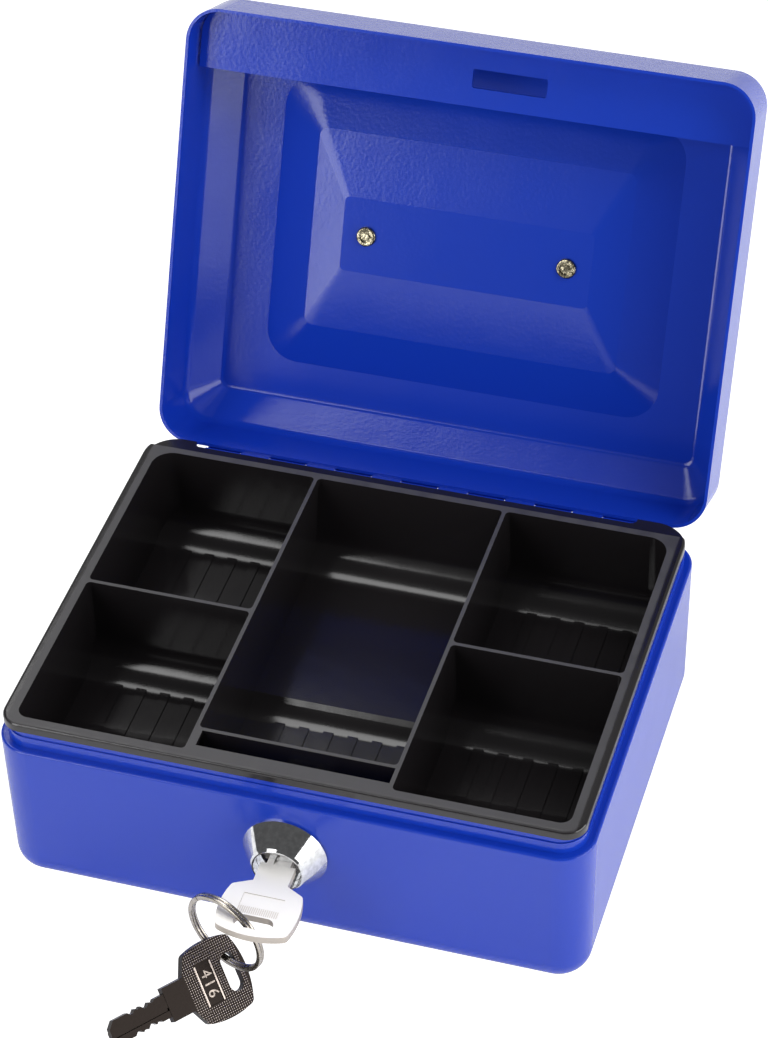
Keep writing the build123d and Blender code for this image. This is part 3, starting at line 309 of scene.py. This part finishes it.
def make_softbox(name, azimuth, height, spread, rise, radiance, seen=True):
    """A softbox facing the box, with its angular width and height in degrees."""
    turn = math.radians(azimuth)
    lift = math.radians(height)
    toward = Vector(
        (math.sin(turn) * math.cos(lift), -math.cos(turn) * math.cos(lift), math.sin(lift))
    )
    data = bpy.data.lights.new(name, "AREA")
    data.shape = "RECTANGLE"
    data.size = 2 * LIGHT_DISTANCE * math.tan(math.radians(spread / 2))
    data.size_y = 2 * LIGHT_DISTANCE * math.tan(math.radians(rise / 2))
    data.energy = radiance * math.pi * data.size * data.size_y
    light = bpy.data.objects.new(name, data)
    light.location = STUDIO_CENTRE + LIGHT_DISTANCE * toward
    light.rotation_euler = (-toward).to_track_quat("-Z", "Y").to_euler()
    light.visible_glossy = seen
    bpy.context.scene.collection.objects.link(light)


def make_surroundings():
    """A room that is dark in front of the box and pale behind it."""
    world = bpy.data.worlds.new("studio")
    bpy.context.scene.world = world
    world.use_nodes = True
    shader = Shader(world.node_tree)
    side = shader.along(shader.place("Generated"), BRIGHT_SIDE)
    background = world.node_tree.nodes["Background"]
    background.inputs["Color"].default_value = WHITE
    glow = shader.ramp(side, BRIGHT_SIDE_FROM, BRIGHT_SIDE_TO, DARK_SIDE_GLOW, BRIGHT_SIDE_GLOW)
    shader.feed(background.inputs["Strength"], glow)


def new_material(name, colour, roughness, metallic=0.0):
    material = bpy.data.materials.new(name)
    material.use_nodes = True
    shader = Shader(material.node_tree)
    shader.set("Base Color", colour)
    shader.set("Roughness", roughness)
    shader.set("Metallic", metallic)
    return material, shader


def glowing_paper(name, glow):
    """White paper that also gives off light."""
    material, shader = new_material(name, PAPER_WHITE, PAPER_ROUGHNESS)
    shader.set("Emission Color", WHITE)
    shader.set("Emission Strength", glow)
    return material


def put_on_stage(name, mesh, material):
    """Makes a mesh part of the studio, not of the cash box."""
    mesh.materials.append(material)
    stage = bpy.data.objects.new(name, mesh)
    bpy.context.scene.collection.objects.link(stage)
    return stage


def make_sheet(name, material):
    """A large level sheet under the box."""
    half = FLOOR_SIZE / 2
    mesh = bpy.data.meshes.new(name)
    corners = [(-half, -half), (half, -half), (half, half), (-half, half)]
    mesh.from_pydata([(x, y, FLOOR_LEVEL) for x, y in corners], [], [(0, 1, 2, 3)])
    return put_on_stage(name, mesh, material)


def make_dome(name, material):
    """A round wall behind the lights, for views that look above the floor."""
    mesh = bpy.data.meshes.new(name)
    shape = bmesh.new()
    bmesh.ops.create_icosphere(
        shape, subdivisions=BACKDROP_SUBDIVISIONS, radius=BACKDROP_RADIUS
    )
    shape.to_mesh(mesh)
    shape.free()
    return put_on_stage(name, mesh, material)


def make_floor():
    """White paper that lights the box, seen as pure white where the camera looks at it."""
    lighting = make_sheet("floor_paper", glowing_paper("white_paper", PAPER_GLOW))
    lighting.visible_camera = False
    white = glowing_paper("overexposed_white", OVEREXPOSED_GLOW)
    for seen in (make_sheet("floor_seen", white), make_dome("backdrop_seen", white)):
        seen.visible_diffuse = False
        seen.visible_glossy = False
        seen.visible_shadow = False


def make_studio():
    """The surroundings, the floor, three softboxes and a fill light, with plain colour."""
    make_surroundings()
    make_floor()
    make_softbox("softbox_left", azimuth=-33.5, height=18.0, spread=25.0, rise=52.0, radiance=4.4)
    make_softbox("softbox_back", azimuth=-133.0, height=59.0, spread=34.0, rise=30.0, radiance=3.4)
    make_softbox("softbox_right", azimuth=86.0, height=10.0, spread=56.0, rise=36.0, radiance=3.5)
    make_softbox(
        "fill_light", azimuth=75.0, height=56.0, spread=30.0, rise=30.0, radiance=4.4, seen=False
    )
    bpy.context.scene.view_settings.view_transform = "Standard"


def powder_coat():
    """Glossy royal blue powder coat: orange peel, slow waves and a few nibs of dust."""
    material, shader = new_material("blue_powder_coat", BLUE, COAT_ROUGHNESS)
    shader.relief(*COAT_WAVES, SMOOTH_DETAIL)
    shader.relief(*COAT_PEEL, SMOOTH_DETAIL)
    cells = shader.node("ShaderNodeTexVoronoi", Scale=NIB_SCALE)
    shader.feed(cells.inputs["Vector"], shader.place())
    rare = shader.more(shader.part(cells.outputs["Color"], "X"), NIB_RARITY)
    nib = shader.less(cells.outputs["Distance"], NIB_RADIUS)
    shader.set("Base Color", shader.mix(shader.all_of(rare, nib), BLUE, NIB_BLUE))
    return material


def moulded_black():
    """Black polystyrene of the tray, with dull top edges painted paler in patches as a painted
    sheen of light from above, and a faint moulding texture.
    """
    material, shader = new_material("moulded_black", TRAY_BLACK, TRAY_ROUGHNESS)
    shader.set("IOR", POLYSTYRENE_IOR)
    x, y, z = (shader.part(shader.place(), axis) for axis in "XYZ")
    level = shader.ramp(shader.part(shader.place("Normal"), "Z"), LEVEL_FROM, LEVEL_TO)
    sheen_patches = shader.noise(SHEEN_PATCH_SCALE, ROUGH_DETAIL)
    # Painted sheen: the upward-facing top edges of the tray turn paler grey in uneven patches,
    # standing for light falling on them from above.
    painted_sheen = shader.all_of(
        level,
        shader.ramp(sheen_patches, SHEEN_PATCH_FROM, SHEEN_PATCH_TO, SHEEN_PATCH_LEAST),
        shader.more(z, TRAY_EDGE_HEIGHT),
        shader.ramp(shader.size(x), TRAY_EDGE_SIDE, TRAY_EDGE_SIDE - TRAY_EDGE_SOFT),
        shader.ramp(y, TRAY_EDGE_BACK, TRAY_EDGE_BACK - TRAY_EDGE_SOFT),
    )
    shader.set("Base Color", shader.mix(painted_sheen, TRAY_BLACK, TRAY_EDGE_SHEEN_GREY))
    shader.set("Roughness", shader.ramp(painted_sheen, 0.0, 1.0, TRAY_ROUGHNESS, TRAY_EDGE_ROUGHNESS))
    shader.relief(*TRAY_WAVES, SMOOTH_DETAIL)
    shader.relief(*TRAY_GRAIN)
    return material


def metal(
    name,
    colour,
    roughness,
    scale=METAL_GRAIN,
    strength=METAL_GRAIN_STRENGTH,
    darkest=METAL_DARKEST,
):
    """Plated or bare metal, with its tone and gloss a little uneven."""
    material, shader = new_material(name, (*colour, 1.0), roughness, metallic=1.0)
    darker = tuple(darkest * channel for channel in colour)
    uneven = shader.ramp(shader.noise(scale / PATCH_TO_GRAIN, ROUGH_DETAIL), PATCH_FROM, PATCH_TO)
    dull, glossy = DULL_PATCH * roughness, GLOSSY_PATCH * roughness
    shader.set("Base Color", shader.mix(uneven, (*darker, 1.0), (*colour, 1.0)))
    shader.set("Roughness", shader.ramp(uneven, 0.0, 1.0, dull, glossy))
    shader.relief(scale, strength, FINE_RELIEF)
    return material


def spare_axes():
    """Axes of the spare key: across the bow, towards its far edge, and off its upper face."""
    far = Vector(
        (
            math.cos(SPARE_RISE) * math.cos(SPARE_AZIMUTH),
            math.cos(SPARE_RISE) * math.sin(SPARE_AZIMUTH),
            math.sin(SPARE_RISE),
        )
    )
    side = Vector((math.sin(SPARE_AZIMUTH), -math.cos(SPARE_AZIMUTH), 0.0))
    across = side * math.cos(SPARE_ROLL) + side.cross(far) * math.sin(SPARE_ROLL)
    return across, far, across.cross(far)


def gunmetal():
    """Dark plating of the spare key, its bow cross-hatched around a plain panel, the raised hatch
    painted paler as a painted highlight.
    """
    material, shader = new_material("gunmetal", GUNMETAL, GUNMETAL_ROUGHNESS, metallic=1.0)
    across, far, normal = spare_axes()
    place = shader.difference(shader.place(), tuple(SPARE_CENTRE - far * (BOW_LENGTH / 2)))
    u = shader.along(place, tuple(across))
    v = shader.along(place, tuple(far))
    waves = [shader.wave(value, HATCH_PITCH) for value in (u, v)]
    dots = shader.all_of(*(shader.ramp(wave, HATCH_FROM, HATCH_TO) for wave in waves))
    beside = shader.size(u)
    off_middle = shader.size(shader.math("SUBTRACT", v, PANEL_PLACE))
    off_panel = shader.math(
        "MAXIMUM",
        shader.more(beside, PANEL_HALF_WIDTH + PANEL_MARGIN),
        shader.more(off_middle, PANEL_HALF_HEIGHT + PANEL_MARGIN),
    )
    frame_line = shader.all_of(
        shader.more(off_middle, PANEL_HALF_HEIGHT),
        shader.less(off_middle, PANEL_HALF_HEIGHT + PANEL_MARGIN),
        shader.less(beside, PANEL_HALF_WIDTH),
    )
    facing = shader.size(shader.along(shader.place("Normal"), tuple(normal)))
    hatch = shader.all_of(
        shader.math("MAXIMUM", shader.all_of(dots, off_panel), frame_line),
        shader.more(v, HATCH_NEAR_EDGE),
        shader.less(v, BOW_LENGTH - HATCH_FAR_EDGE),
        shader.more(facing, HATCH_FACING),
    )
    # Painted highlight: the hatch dots and the panel's frame lines are mixed towards a pale
    # colour, on top of their real bump.
    shader.set("Base Color", shader.mix(hatch, GUNMETAL, GUNMETAL_HATCH_HIGHLIGHT))
    shader.bump(hatch, HATCH_STRENGTH)
    shader.relief(*GUNMETAL_GRAIN)
    return material


def key_nickel():
    """Bright satin nickel of the key in the lock, with a fine ribbed patch beside its slot and
    painted shade darkening its side edges.
    """
    material, shader = new_material("key_nickel", NICKEL, NICKEL_ROUGHNESS, NICKEL_METALLIC)
    place = shader.difference(shader.place(), RIBBED_PLACE)
    near = [
        shader.less(shader.size(shader.part(place, axis)), half_size)
        for axis, half_size in zip("XY", RIBBED_HALF_SIZE)
    ]
    wave = shader.wave(shader.part(place, "X"), RIB_PITCH)
    rib = shader.all_of(shader.ramp(wave, -RIB_EDGE, RIB_EDGE), *near)
    level = shader.size(shader.part(shader.place("Normal"), "Z"))
    face = shader.ramp(level, FACE_FROM, FACE_TO)
    # The raised ribs of the patch are mixed towards a darker nickel.
    ribbed = shader.mix(rib, NICKEL, NICKEL_RIBS_DARKER)
    # Painted shade: faces of the key that are not level, its side edges, are mixed towards a
    # darker colour.
    shader.set("Base Color", shader.mix(face, NICKEL_EDGE_SHADE, ribbed))
    shader.bump(rib, RIB_STRENGTH)
    shader.relief(*NICKEL_GRAIN)
    return material


def make_number(material):
    """A plain three-digit number standing in the spare key's panel."""
    across, far, normal = spare_axes()
    data = bpy.data.curves.new("spare_key_number", "FONT")
    data.body = NUMBER
    data.size = NUMBER_HEIGHT
    data.space_character = NUMBER_SPACING
    data.align_x = "CENTER"
    data.align_y = "CENTER"
    data.extrude = NUMBER_RELIEF
    data.resolution_u = NUMBER_RESOLUTION
    number = bpy.data.objects.new("spare_key_number", data)
    turn = Matrix((across, far, normal)).transposed().to_4x4()
    place = SPARE_CENTRE - far * (BOW_LENGTH / 2 - PANEL_PLACE) + normal * PANEL_FLOOR
    number.matrix_world = Matrix.Translation(place) @ turn
    bpy.context.scene.collection.objects.link(number)
    data.materials.append(material)
    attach(number, "spare")


def dress(material, *nodes):
    """Gives carried-over nodes their finish."""
    for name in nodes:
        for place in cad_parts[name].material_slots:
            place.material = material


make_camera()
make_studio()

dress(
    powder_coat(), "base_shell", "lid_shell", "latch_ledge", "hinge_leaf_base", "hinge_leaf_lid"
)
dress(moulded_black(), "coin_tray")
dress(metal("chrome_plate", *CHROME), "lock_body", "lock_plug", "handle_bail")
dress(key_nickel(), "key_in_lock")
dress(metal("ring_nickel", *RING_NICKEL), "key_ring")
dress(gunmetal(), "spare_key")
dress(metal("bright_steel", *BRIGHT_STEEL), "hinge_pin", "wafer_springs", "cam_clip")
dress(
    metal("yellow_zinc", *YELLOW_ZINC, POST_GRAIN, POST_GRAIN_STRENGTH, POST_DARKEST),
    "handle_post_left",
    "handle_post_right",
)
dress(metal("white_zinc", *WHITE_ZINC), "lock_nut", "hook_cam", "stop_washer")
dress(metal("brass", *BRASS), "wafer_1", "wafer_2", "wafer_3", "wafer_4")
make_number(metal("number_steel", *NUMBER_STEEL))
